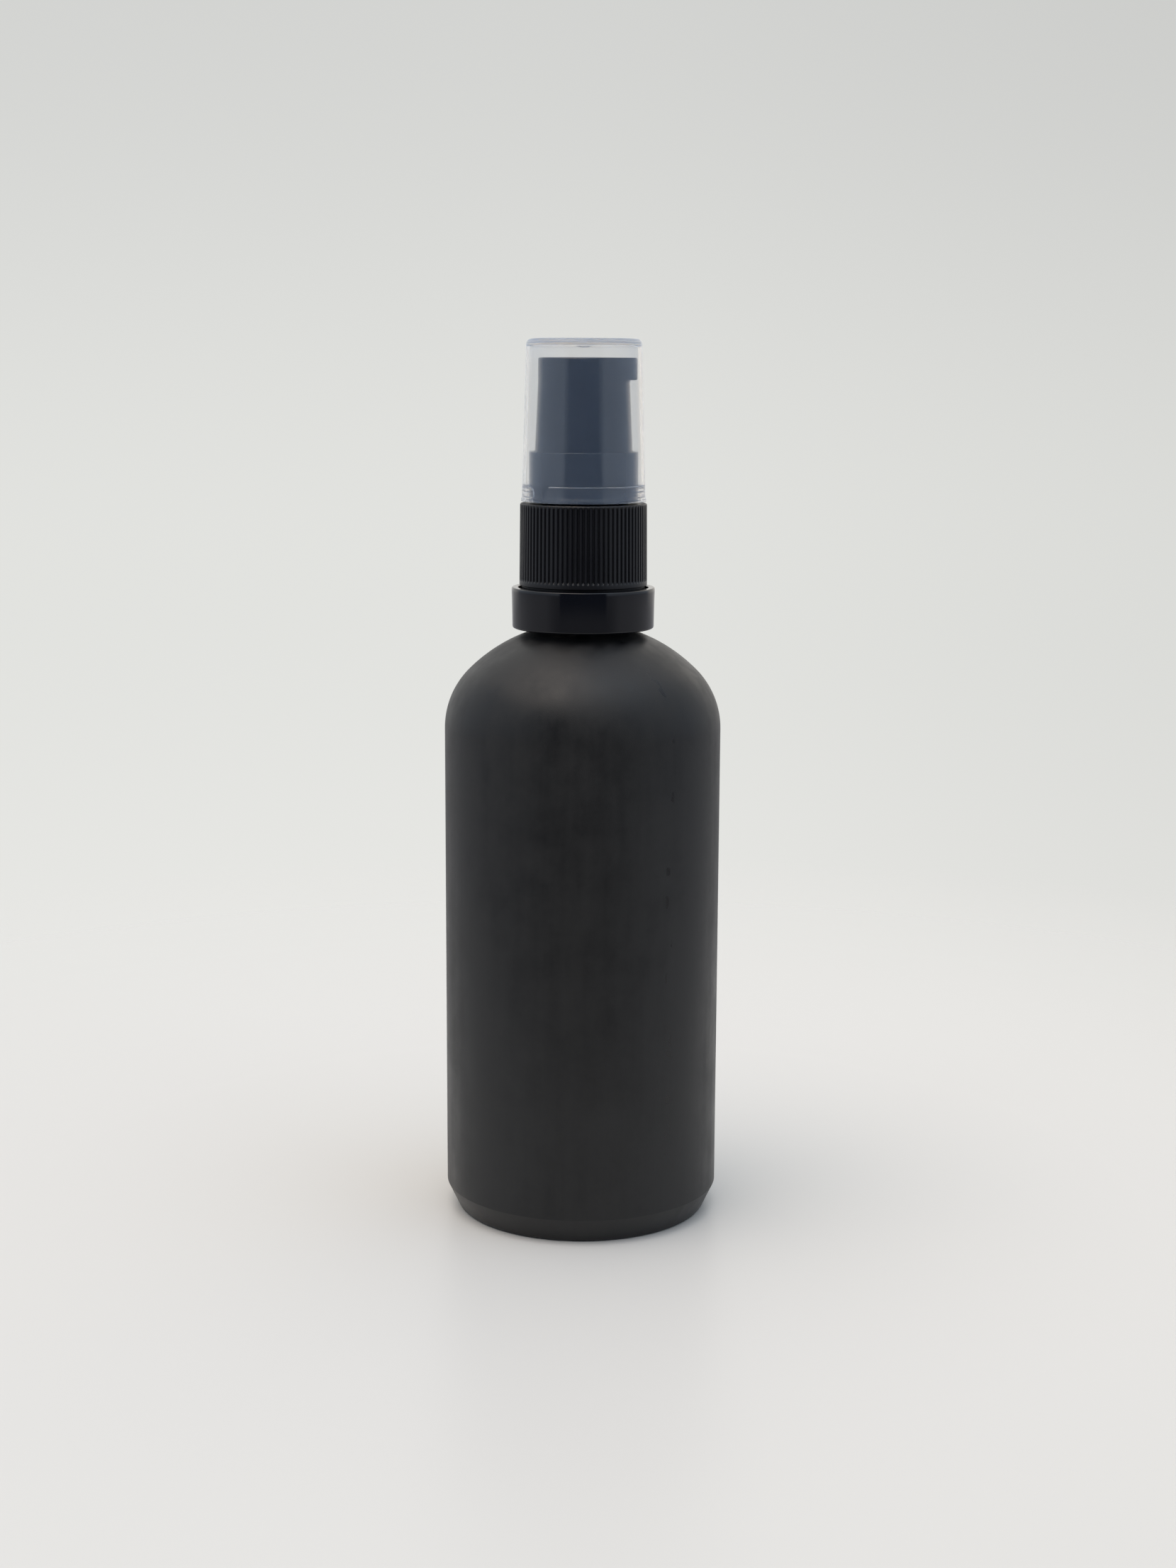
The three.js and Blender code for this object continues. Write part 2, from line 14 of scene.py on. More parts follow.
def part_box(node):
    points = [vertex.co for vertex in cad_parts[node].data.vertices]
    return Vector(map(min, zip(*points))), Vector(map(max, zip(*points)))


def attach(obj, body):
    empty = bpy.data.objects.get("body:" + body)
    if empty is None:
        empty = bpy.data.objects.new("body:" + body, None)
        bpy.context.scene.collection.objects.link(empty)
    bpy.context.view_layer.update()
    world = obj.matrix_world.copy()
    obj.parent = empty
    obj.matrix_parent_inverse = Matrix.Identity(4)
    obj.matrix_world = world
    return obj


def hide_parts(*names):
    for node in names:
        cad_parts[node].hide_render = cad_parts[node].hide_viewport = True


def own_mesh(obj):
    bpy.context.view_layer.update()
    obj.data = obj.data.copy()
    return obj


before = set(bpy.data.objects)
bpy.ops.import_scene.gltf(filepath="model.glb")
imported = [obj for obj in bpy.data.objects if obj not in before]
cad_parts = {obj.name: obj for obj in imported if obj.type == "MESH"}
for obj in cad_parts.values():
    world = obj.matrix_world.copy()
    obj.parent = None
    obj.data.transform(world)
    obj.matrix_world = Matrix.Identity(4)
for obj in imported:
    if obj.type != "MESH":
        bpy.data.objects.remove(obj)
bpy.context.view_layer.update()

MM = 0.001
FULL_TURN = 2 * math.pi

# ---- Sizes, in millimetres ---------------------------------------------------------------

GAP = 0.3                 # between pieces that touch on the real pump
PITCH = 3.0               # screw thread
GLASS = 2.7               # wall of the bottle
SHOULDER_RADIUS = 14.0    # lower arc of the shoulder
UPPER_SHOULDER_RADIUS = 28.0
SHOULDER_TURN = math.pi / 4         # where the two arcs meet
HEEL_TOP = 4.45           # top of the conical heel
SEAM_ANGLE = math.radians(-52)      # of the bottle's mould seams
BRIDGES = 8               # between the security ring and the closure, all broken
RIBS = 80                 # on the closure
RIB_DEPTH = 0.34
CYLINDER_FLOOR = 12.0     # above the low end of the pump's housing
SEAT_FLANGE = 2.0         # above the low end of the piston's seat
CAP_WALL = 0.58           # of the clear overcap
GRIP_GAPS = 2             # in the band at its foot
FIRST_GRIP_GAP = math.radians(41)

CREASE = math.radians(35)           # edges sharper than this aren't smoothed


def extent(node):
    """(outer radius, lowest height, highest height) of a round CAD node, in millimetres."""
    low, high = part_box(node)
    return high.y / MM, low.z / MM, high.z / MM


# ---- Mesh building -----------------------------------------------------------------------

def arc(centre_r, centre_z, radius, start, end, steps):
    """Points of a round stretch of an outline."""
    angles = np.linspace(start, end, steps + 1)
    return [(centre_r + radius * math.cos(a), centre_z + radius * math.sin(a)) for a in angles]


def rounded(outline, steps=4):
    """The outline with each corner that has a third number rounded to that radius."""
    count = len(outline)
    points = []
    for i, corner in enumerate(outline):
        here = np.array(corner[:2], float)
        if len(corner) == 2:
            points.append(tuple(here))
            continue
        before = np.array(outline[i - 1][:2], float) - here
        after = np.array(outline[(i + 1) % count][:2], float) - here
        length_before, length_after = np.linalg.norm(before), np.linalg.norm(after)
        before, after = before / length_before, after / length_after
        half = math.acos(max(-1.0, min(1.0, float(before @ after)))) / 2
        reach = min(corner[2] / math.tan(half), 0.45 * length_before, 0.45 * length_after)
        start, end = here + before * reach, here + after * reach
        for t in np.linspace(0, 1, steps + 1):
            points.append(tuple((1 - t) ** 2 * start + 2 * t * (1 - t) * here + t * t * end))
    return points


def along(start, end, spacing):
    """Points from start to end, a little closer than spacing, without the last one."""
    start, end = np.array(start, float), np.array(end, float)
    steps = max(1, math.ceil(np.linalg.norm(end - start) / spacing))
    return [tuple(start + (end - start) * i / steps) for i in range(steps)]


def smooth(mesh):
    """Smooth faces with sharp creases."""
    mesh.polygons.foreach_set("use_smooth", [True] * len(mesh.polygons))
    mesh.set_sharp_from_angle(angle=CREASE)
    mesh.update()


def mesh_object(name, vertices, faces):
    mesh = bpy.data.meshes.new(name)
    mesh.from_pydata([tuple(v) for v in vertices], [], faces)
    mesh.validate()
    smooth(mesh)
    obj = bpy.data.objects.new(name, mesh)
    bpy.context.scene.collection.objects.link(obj)
    return obj


def turn(name, outline, sides=128, relief=None):
    """Turns an outline about the axis. It either starts and ends on the axis or is a closed loop.

    relief(radius, height, angle) may give each point its own radius and height, from arrays
    with one row for each side and one column for each point of the outline.
    """
    points = np.array(outline, float)
    count = len(points)
    on_axis = points[0, 0] < 1e-9 and points[-1, 0] < 1e-9
    angle = np.repeat(np.arange(sides)[:, None] * FULL_TURN / sides, count, axis=1)
    radius = np.repeat(points[None, :, 0], sides, axis=0)
    height = np.repeat(points[None, :, 1], sides, axis=0)
    if relief:
        radius, height = relief(radius, height, angle)
    grid = np.stack([radius * np.cos(angle), radius * np.sin(angle), height], axis=-1) * MM
    number = np.arange(sides * count).reshape(sides, count)
    if on_axis:
        number[:, 0] = 0
        number[:, -1] = count - 1
    used, renumbered = np.unique(number, return_inverse=True)
    rows = renumbered.reshape(sides, count).tolist()
    faces = []
    for here, there in zip(rows, rows[1:] + rows[:1]):
        for j in range(count - 1 if on_axis else count):
            k = (j + 1) % count
            faces.append(list(dict.fromkeys((here[j], there[j], there[k], here[k]))))
    return mesh_object(name, grid.reshape(-1, 3)[used].tolist(), faces)


def sweep(name, path, radius, sides=16, bore=None):
    """A round bar along a path of points in millimetres, or a tube where it has a bore."""
    path = np.array(path, float)
    tangent = np.gradient(path, axis=0)
    tangent /= np.linalg.norm(tangent, axis=1)[:, None]
    across = np.cross(tangent[0], (0, 1, 0) if abs(tangent[0][1]) < 0.9 else (1, 0, 0))
    axes = []
    for point, direction in zip(path, tangent):
        across = across - direction * (across @ direction)
        across /= np.linalg.norm(across)
        axes.append((point, across, np.cross(direction, across)))
    angles = np.arange(sides) * FULL_TURN / sides

    def ring(index, size, shift=0):
        point, first, second = axes[index]
        point = point + tangent[index] * shift
        return [(point + size * (math.cos(a) * first + math.sin(a) * second)) * MM for a in angles]

    last = len(path) - 1
    edge = 0.2 * (radius - (bore or 0))
    rings = [ring(0, radius - edge), ring(0, radius, edge)]
    rings += [ring(i, radius) for i in range(1, last)]
    rings += [ring(last, radius, -edge), ring(last, radius - edge)]
    if bore:
        rings += [ring(i, bore) for i in range(last, -1, -1)]
    faces = []
    for i in range(len(rings) if bore else len(rings) - 1):
        here, there = i * sides, (i + 1) % len(rings) * sides
        for j in range(sides):
            k = (j + 1) % sides
            faces.append([here + j, here + k, there + k, there + j])
    if not bore:
        faces.append(list(range(sides))[::-1])
        faces.append([(len(rings) - 1) * sides + j for j in range(sides)])
    return mesh_object(name, [point for loop in rings for point in loop], faces)


def combine(obj, tool, operation):
    """Joins a solid to obj or cuts it away, then removes it."""
    modifier = obj.modifiers.new(operation, "BOOLEAN")
    modifier.operation = operation
    modifier.solver = "EXACT"
    modifier.object = tool
    bpy.context.view_layer.update()
    graph = bpy.context.evaluated_depsgraph_get()
    mesh = bpy.data.meshes.new_from_object(obj.evaluated_get(graph))
    obj.modifiers.clear()
    obj.data = mesh
    smooth(mesh)
    bpy.data.objects.remove(tool)
    return obj


def smooth_step(value, low, high):
    """0 below low, 1 above high and an even S between them."""
    t = np.clip((value - low) / (high - low), 0, 1)
    return t * t * (3 - 2 * t)


def thread(height, angle, start, turns, amount):
    """How far a right-hand screw ridge stands out of its wall at each point."""
    flat, foot, run_out = 0.3, 0.72, 0.12
    total = np.zeros_like(height)
    for lap in range(-1, math.ceil(turns) + 1):
        travel = angle / FULL_TURN + lap
        ridge = 1 - smooth_step(np.abs(height - start - PITCH * travel), flat, foot)
        fade = smooth_step(travel, 0, run_out) * (1 - smooth_step(travel, turns - run_out, turns))
        total = np.maximum(total, amount * ridge * fade)
    return total


# ---- Pieces ------------------------------------------------------------------------------

def shoulder(body, start_z, inset, end_radius, steps):
    """The two tangent arcs from the straight wall up to the neck, drawn in by inset."""
    lower_r = body - SHOULDER_RADIUS
    shift = (SHOULDER_RADIUS - UPPER_SHOULDER_RADIUS) * math.sqrt(0.5)
    upper_r, upper_z = lower_r + shift, start_z + shift
    upper = UPPER_SHOULDER_RADIUS - inset
    end = math.acos((end_radius - upper_r) / upper)
    first = arc(lower_r, start_z, SHOULDER_RADIUS - inset, 0, SHOULDER_TURN, steps)
    return first + arc(upper_r, upper_z, upper, SHOULDER_TURN, end, steps)[1:]


def make_bottle():
    body, base, rim = extent("bottle")
    start = rim - 32.2
    inside = body - GLASS
    neck, foot, bead, bore = 8.1, 8.8, 9.75, 5.6
    floor = base + 5.2
    thread_low, thread_high = rim - 9.2, rim - 1.2
    outline = [(0, base + 1.6), (9, base + 1.35), (16.2, base + 0.75, 0.6), (17.2, base, 0.3)]
    outline += [(18.5, base), (21.55, base, 1.0), (body, HEEL_TOP, 0.25)]
    outline += along((body, HEEL_TOP + 1), (body, start), 6)
    outline += shoulder(body, start, 0, 9.3, 22)
    outline += [(foot, rim - 15.1, 0.5), (foot, rim - 13.1, 0.2), (bead, rim - 12.5, 0.25)]
    outline += [(bead, rim - 11.5, 0.25), (neck, rim - 10.8, 0.3)]
    outline += along((neck, thread_low), (neck, thread_high), 0.11)
    outline += [(neck, rim, 0.45), (bore, rim, 0.45), (bore, rim - 16, 1.5)]
    outline += shoulder(body, start, GLASS, 6.8, 12)[::-1]
    outline += along((inside, start - 1), (inside, floor + 5), 12)
    outline += arc(inside - 5, floor + 5, 5, 0, -math.pi / 2, 8)
    outline += [(9, floor + 0.5), (0, floor + 1)]

    def screw(radius, height, angle):
        on_neck = (radius > neck - 0.3) & (radius < neck + 0.1) & (height > thread_low - 1)
        lift = thread(height, angle, rim - 8.1, 1.75, 0.9)
        return radius + np.where(on_neck, lift, 0), height

    return turn("bottle_glass", rounded(outline), sides=192, relief=screw)


def make_ring():
    """A band with flaps that catch under the neck's bead, and the stubs of broken bridges."""
    outer, low, high = extent("tamper_evident_ring")
    closure_low = extent("closure")[1]
    bore = 11.1
    overlap = bore + 0.3
    obj = turn("security_ring", rounded([
        (bore, low, 0.25), (outer - 0.13, low, 0.4), (outer - 0.04, high - 1.9),
        (outer, high - 0.7), (outer, high, 0.28), (bore, high, 0.18),
    ], 6), sides=192)
    flap = [(9.2, low + 1.1), (9.3, low + 1.7), (overlap, low + 1.3), (overlap, low + 0.4)]
    stub_low, stub_high = closure_low - 0.75, closure_low - GAP
    stub = [(10.1, stub_low), (overlap, stub_low), (overlap, stub_high), (10.1, stub_high)]
    for outline, width, shift in ((flap, 2.6, 0), (stub, 0.8, 0.5)):
        for i in range(BRIDGES):
            angle = (i + shift) * FULL_TURN / BRIDGES
            combine(obj, slab("tab", outline, width, angle), "UNION")
    return obj


def slab(name, outline, width, angle):
    """An outline in the plane through the axis at the given angle, with a thickness across it."""
    half = width / 2
    spin = Matrix.Rotation(angle, 3, "Z")
    count = len(outline)
    vertices = [spin @ Vector((r, side, z)) * MM for side in (-half, half) for r, z in outline]
    faces = [list(range(count)), list(range(2 * count - 1, count - 1, -1))]
    faces += [[(i + 1) % count, i, i + count, (i + 1) % count + count] for i in range(count)]
    return mesh_object(name, vertices, faces)


def make_closure():
    foot, low, high = extent("closure")
    head = foot - 0.1
    skirt, bore, hole = 10.45, 9.4, 7.95
    step = low + 2.7
    roof = high - 1.7
    rib_low, rib_high = low + 3.5, high - 0.12
    outline = [(bore, low, 0.2), (skirt, low, 0.2), (skirt, step, 0.1), (foot, step, 0.12)]
    outline += along((foot, rib_low - 0.25), (foot - 0.01, rib_low + 1.3), 0.13)
    outline += along((foot - 0.01, rib_low + 1.3), (head, rib_high - 1.0), 2)
    outline += along((head, rib_high - 1.0), (head, high - 0.45), 0.11)
    outline += [(head - 0.02, high, 0.4), (hole, high, 0.2), (hole, roof, 0.2), (bore, roof, 0.5)]
    outline += along((bore, roof - 0.8), (bore, low + 0.5), 0.14)

    def ribs_and_screw(radius, height, angle):
        phase = np.abs((angle * RIBS / FULL_TURN) % 1 - 0.5) * 2
        groove = smooth_step(phase, 0.34, 0.86)
        length = smooth_step(height, rib_low - 0.1, rib_low + 0.42)
        length = length * (1 - smooth_step(height, rib_high - 0.38, rib_high))
        outside = radius > skirt + 0.1
        inside = (radius < bore + 0.01) & (radius > hole + 0.5) & (height < roof - 0.3)
        radius = radius - np.where(outside, RIB_DEPTH * groove * length, 0)
        lift = thread(height, angle, low + 1.05, 1.5, 0.85)
        return radius - np.where(inside, lift, 0), height

    return turn("screw_closure", rounded(outline), sides=RIBS * 10, relief=ribs_and_screw)


def make_gasket():
    outer, low, high = extent("neck_gasket")
    bore = 5.0
    middle = (low + high) / 2
    return turn("neck_seal", rounded([
        (bore, low, 0.15), (outer, low, 0.15), (outer, middle - 0.1, 0.1), (outer - 0.12, middle),
        (outer, middle + 0.1, 0.1), (outer, high, 0.15), (bore, high, 0.15),
    ]))


def make_housing():
    flange, low, high = extent("pump_housing")
    socket, barrel, bore = 1.85, 4.6, 3.6
    collar, collar_bore = 6.45, 5.4
    flange_z = high - 4.6
    floor, roof = flange_z + 1.2, flange_z + 2.7
    seat = low + CYLINDER_FLOOR
    return turn("pump_cylinder", rounded([
        (socket, low, 0.2), (3, low, 0.3), (3, low + 6.5, 0.6), (barrel, low + 9, 0.8),
        (barrel, flange_z, 0.3), (flange, flange_z, 0.2), (flange, roof, 0.2),
        (7.95, roof, 0.15), (7.95, floor, 0.15), (collar, floor, 0.15), (collar, high, 0.2),
        (collar_bore, high, 0.2), (collar_bore, floor + 0.2, 0.2), (bore, flange_z + 0.4, 0.3),
        (bore, seat, 0.15), (1.3, seat, 0.1), (1.3, low + 11.2, 0.1),
        (1.9, low + 11.2, 0.1), (1.9, low + 7.9, 0.1), (0.9, low + 6.9, 0.1),
        (0.9, low + 6.3, 0.1), (socket, low + 6.3, 0.1),
    ]), sides=96)


def make_chaplet():
    outer, low, high = extent("chaplet")
    bore, sleeve, plug = 2.45, 3.3, 5.1
    flange = high - 1.2
    return turn("stem_guide", rounded([
        (bore, low, 0.2), (sleeve, low, 0.2), (sleeve, low + 2.6, 0.2), (plug, flange - 3, 0.2),
        (plug, flange, 0.15), (outer, flange, 0.15), (outer, high, 0.25), (bore, high, 0.3),
    ]), sides=96)


def make_turret():
    foot, low, high = extent("turret")
    head = foot - 0.03
    neck, neck_bore, bore, hole = 7.6, 6.75, 8.6, 4.0
    skirt, floor = low + 3.5, low + 4.9
    return turn("collar_turret", rounded([
        (neck_bore, low, 0.2), (neck, low, 0.2), (neck, skirt, 0.15), (foot, skirt, 0.2),
        (head, high, 0.42), (bore, high, 0.15), (bore, floor + 1.2, 0.3), (hole, floor + 1.2, 0.3),
        (hole, floor, 0.2), (neck_bore, floor, 0.3),
    ], 5), sides=160)


def make_stem():
    """A rod with a bore, a stop for the piston, and a port on each side near its lower end."""
    stop, low, high = extent("stem")
    outer, bore = 2.1, 1.05
    obj = turn("hollow_stem", rounded([
        (bore, low, 0.1), (outer, low, 0.15), (outer, low + 6.4, 0.15), (stop, low + 6.4, 0.15),
        (stop, low + 7, 0.2), (outer, low + 7, 0.15), (outer, high, 0.45), (bore, high, 0.1),
    ]), sides=64)
    port = sweep("port", [(0, y, low + 1.5) for y in (-3, -1, 1, 3)], 0.4)
    return combine(obj, port, "DIFFERENCE")


def make_piston():
    """A sleeve on the stem and a skirt with two sealing lips, joined by a web."""
    lip, low, high = extent("piston")
    bore, sleeve, skirt = 2.35, 2.75, 3.05
    web = low + 2.2
    return turn("piston_seal", rounded([
        (bore, low, 0.1), (sleeve, low, 0.1), (sleeve, web, 0.15), (skirt, web, 0.1),
        (skirt, low + 0.8, 0.05), (lip, low + 0.35, 0.06), (lip, low + 0.8, 0.1),
        (lip - 0.1, low + 2.7), (lip, low + 4.5, 0.1), (lip, low + 4.95, 0.06),
        (skirt, low + 4.5, 0.05), (skirt, web + 1, 0.1), (sleeve, web + 1, 0.15),
        (sleeve, high, 0.1), (bore, high, 0.1),
    ]), sides=96)


def make_seat():
    flange, low, high = extent("piston_seat")
    flange_z = low + SEAT_FLANGE
    return turn("valve_seat", rounded([
        (0, low), (2.1, low, 0.35), (2.1, flange_z, 0.1), (flange, flange_z, 0.15),
        (flange, low + 2.7, 0.2), (2.6, low + 3.1, 0.1), (0.75, low + 3.1, 0.1),
        (0.75, high, 0.2), (0, high),
    ]), sides=64)


def make_spring():
    """A coil from the cylinder's floor to the piston's seat, with a closed turn at each end."""
    wire, mean_radius, turns, steps = 0.3, 2.75, 7, 32
    low = cylinder_floor() + GAP + wire
    high = extent("piston_seat")[1] + SEAT_FLANGE - GAP - wire
    end_rise = 2.4 * wire
    open_rise = (high - low - 2 * end_rise) / (turns - 2)
    path = []
    for step in range(turns * steps + 1):
        turned = step / steps
        opened = min(max(turned - 1, 0), turns - 2)
        z = low + (turned - opened) * end_rise + opened * open_rise
        angle = FULL_TURN * turned
        path.append((mean_radius * math.cos(angle), mean_radius * math.sin(angle), z))
    return sweep("coil_spring", path, wire, sides=12)


def cylinder_floor():
    return extent("pump_housing")[1] + CYLINDER_FLOOR


def press_spring(spring):
    """Gives the spring a mesh of its own; it is not shortened."""
    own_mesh(spring)


def make_ball():
    _, low, high = extent("inlet_ball")
    quarter = math.pi / 2
    outline = arc(0, (low + high) / 2, (high - low) / 2, -quarter, quarter, 32)
    return turn("check_ball", outline, sides=64)


def make_dip_tube():
    """Straight down from the housing, then in a gentle bow to the corner of the bottle's floor."""
    route = [(0, 88), (0, 84), (-0.1, 79), (-1.6, 66), (-5.2, 46), (-10.3, 26), (-15.8, 7.6)]
    curve = smooth_path([(x, 0, z) for x, z in route], 16)
    return sweep("suction_tube", curve, 1.5, sides=32, bore=0.9)


def smooth_path(points, steps):
    """A centripetal Catmull-Rom curve through the points."""
    points = [np.array(p, float) for p in points]
    ends = [2 * points[0] - points[1]] + points + [2 * points[-1] - points[-2]]
    path = []
    for a, b, c, d in zip(ends, ends[1:], ends[2:], ends[3:]):
        knots = [0.0]
        for p, q in ((a, b), (b, c), (c, d)):
            knots.append(knots[-1] + math.sqrt(np.linalg.norm(q - p)))
        t0, t1, t2, t3 = knots
        for t in np.linspace(t1, t2, steps, endpoint=False):
            ab = (t1 - t) / (t1 - t0) * a + (t - t0) / (t1 - t0) * b
            bc = (t2 - t) / (t2 - t1) * b + (t - t1) / (t2 - t1) * c
            cd = (t3 - t) / (t3 - t2) * c + (t - t2) / (t3 - t2) * d
            abc = (t2 - t) / (t2 - t0) * ab + (t - t0) / (t2 - t0) * bc
            bcd = (t3 - t) / (t3 - t1) * bc + (t - t1) / (t3 - t1) * cd
            path.append((t2 - t) / (t2 - t1) * abc + (t - t1) / (t2 - t1) * bcd)
    return path + [points[-1]]


def spout_radius(angle, body, reach, half_width):
    """Plan of the button: round, with a beak whose sides touch the body and narrow to the tip."""
    turned = np.abs((angle + math.pi) % FULL_TURN - math.pi)
    touch = math.atan2(half_width, reach) + math.acos(body / math.hypot(reach, half_width))
    side = body / np.cos(np.clip(touch - turned, 0, None))
    front = reach / np.cos(np.clip(turned, 0, 1.3))
    sharpness = 70
    beak = (side ** -sharpness + front ** -sharpness) ** (-1 / sharpness)
    return np.where(turned < touch, np.maximum(beak, body), body)


def make_actuator():
    """A tapered button with a beak at its top, drilled from the stem's socket to the tip."""
    low_corner, high_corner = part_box("actuator")
    reach, foot = high_corner.x / MM, high_corner.y / MM
    low, high = low_corner.z / MM, high_corner.z / MM
    head = foot - 0.56
    spout_low, spout_half_width = high - 3.7, 1.9
    edge, edge_steps = 0.3, 7
    top_round = 0.35
    socket, socket_bore, ceiling = 3.4, 2.4, high - 1.4
    underside = rounded([(foot - 0.95, low, 0.2), (foot, low, 0.25), (foot, low + 1)])[:-1]
    wall = along((foot, low + 0.6), (head, spout_low - edge), 3)
    spout_wall = along((head, spout_low + edge), (head, high - top_round), 1.2)[1:]
    top_edge = arc(head - top_round, high - top_round, top_round, 0, math.pi / 2, 6)
    top = [(head * share, high) for share in (0.85, 0.6, 0.3)] + [(0, high)]
    inside = rounded([
        (0, high - 2), (0, high - 6), (socket_bore, high - 6, 0.2), (socket_bore, low + 0.2, 0.2),
        (socket, low + 0.2, 0.2), (socket, ceiling, 0.5), (head - 0.9, ceiling, 0.6),
        (foot - 0.95, low + 1),
    ])[1:]
    outline = underside + wall + [(head, spout_low)] * (2 * edge_steps)
    outline += spout_wall + top_edge + top + inside

    inner_edge = slice(len(underside + wall), len(underside + wall) + edge_steps)
    outer_edge = slice(inner_edge.stop, inner_edge.stop + edge_steps)
    spout = slice(outer_edge.stop, outer_edge.stop + len(spout_wall + top_edge) + 2)

    def beak(radius, height, angle):
        """Pulls the upper rings out to the beak's plan, with rounded edges under it."""
        plan = spout_radius(angle[:, :1], head, reach, spout_half_width)
        bend = np.minimum(edge, 0.45 * (plan - head))
        turned = np.linspace(0, math.pi / 2, edge_steps)
        radius[:, inner_edge] = head + bend * (1 - np.cos(turned))
        height[:, inner_edge] = spout_low - 0.01 - edge * (1 - np.sin(turned))
        radius[:, outer_edge] = plan - bend * (1 - np.sin(turned))
        height[:, outer_edge] = spout_low + 0.01 + edge * (1 - np.cos(turned))
        near_wall = radius[:, spout] > head - top_round - 0.05
        offset = plan - head + radius[:, spout]
        scaled = plan * radius[:, spout] / head
        radius[:, spout] = np.where(near_wall, offset, scaled)
        return radius, height

    obj = turn("push_button", outline, sides=256, relief=beak)
    channel_z = (spout_low + high) / 2 - 0.2
    channel = [(x, 0, channel_z) for x in (0, 3, 6, reach + 1)]
    riser = [(0, 0, z) for z in (high - 6.5, high - 5, high - 3, channel_z)]
    combine(obj, sweep("channel", channel, 0.6, sides=32), "DIFFERENCE")
    return combine(obj, sweep("riser", riser, 1.05, sides=32), "DIFFERENCE")


def make_overcap():
    foot, low, high = extent("overcap")
    head, corner, roof = foot - 0.76, 1.0, 1.15
    ceiling = high - roof
    wall_low, wall_high = foot - CAP_WALL, head - CAP_WALL
    bead = foot + 0.12
    grip_high, grip_radius = low + 2.75, extent("turret")[0] + GAP
    outline = [(0, ceiling - 0.3), (0.7, ceiling - 0.25), (1.6, ceiling, 0.25)]
    outline += [(4, ceiling), (wall_high, ceiling, 0.3)]
    outline += along((wall_high, ceiling - 1.5), (wall_low - 0.12, grip_high + 1), 2)
    outline += along((wall_low - 0.1, grip_high + 1), (wall_low, low + 0.25), 0.045)
    outline += [(wall_low, low, 0.15), (bead, low, 0.1), (bead, low + 0.35, 0.1)]
    outline += along((foot - 0.03, low + 0.6), (head, high - corner), 2.5)
    outline += arc(head - corner, high - corner, corner, 0, math.pi / 2, 10)
    outline += [(5, high), (1.5, high), (1.15, high - 0.25, 0.15), (0.55, high - 0.38)]
    outline += [(0.4, high - 0.2, 0.1), (0, high - 0.15)]

    def grip(radius, height, angle):
        """A band of ridges inside the foot, in segments with round upper corners."""
        segment = FULL_TURN / GRIP_GAPS
        turned = (angle - FIRST_GRIP_GAP) % segment
        from_end = np.minimum(turned, segment - turned) * wall_low - 1.3
        bend = 1.4
        drop = bend * (1 - np.sqrt(1 - (1 - np.clip(from_end / bend, 0, 1)) ** 2))
        top = grip_high - drop
        inside = (radius < wall_low + 0.01) & (radius > 8) & (height < grip_high + 1)
        inside &= height > low + 0.1
        full = smooth_step(from_end, -0.1, 0.12) * (1 - smooth_step(height, top - 0.3, top + 0.05))
        lead_in = np.clip((height - low - 0.3) / 0.8, 0, 1)
        depth = (wall_low - grip_radius) * (0.1 + 0.8 * lead_in)
        for ridge_z in (low + 0.8, low + 1.45, low + 2.1):
            depth = depth + 0.06 * np.exp(-(((height - ridge_z) / 0.16) ** 2))
        return radius - np.where(inside, depth * full, 0), height

    return turn("clear_overcap", rounded(outline), sides=384, relief=grip)


# ---- Materials ---------------------------------------------------------------------------

class Nodes:
    """Short calls for the nodes of a material or a world."""

    def __init__(self, owner, coordinates):
        owner.use_nodes = True
        self.nodes = owner.node_tree.nodes
        self.links = owner.node_tree.links
        self.place = self.nodes.new("ShaderNodeTexCoord").outputs[coordinates]

    def put(self, value, socket):
        """Links an output to a socket, or gives the socket its own number or colour."""
        if isinstance(value, (int, float)):
            socket.default_value = value
        elif isinstance(value, tuple):
            socket.default_value = (*value, 1)
        else:
            self.links.new(value, socket)

    def math(self, operation, *values):
        node = self.nodes.new("ShaderNodeMath")
        node.operation = operation
        for value, socket in zip(values, node.inputs):
            self.put(value, socket)
        return node.outputs["Value"]

    def mix(self, share, first, second):
        """A colour between two others."""
        node = self.nodes.new("ShaderNodeMix")
        node.data_type = "RGBA"
        for value, socket in ((share, "Factor"), (first, "A"), (second, "B")):
            self.put(value, node.inputs[socket])
        return node.outputs["Result"]

    def map_range(self, value, curve, *limits):
        """The value carried from one range to another, with limits From Min to To Max."""
        node = self.nodes.new("ShaderNodeMapRange")
        node.interpolation_type = curve
        self.put(value, node.inputs["Value"])
        for socket, limit in zip(("From Min", "From Max", "To Min", "To Max"), limits):
            node.inputs[socket].default_value = limit
        return node.outputs["Result"]

    def vector_math(self, operation, second=(0, 0, 0)):
        """A number worked out from the place, such as its LENGTH."""
        node = self.nodes.new("ShaderNodeVectorMath")
        node.operation = operation
        node.inputs[1].default_value = second
        self.links.new(self.place, node.inputs[0])
        return node.outputs["Value"]


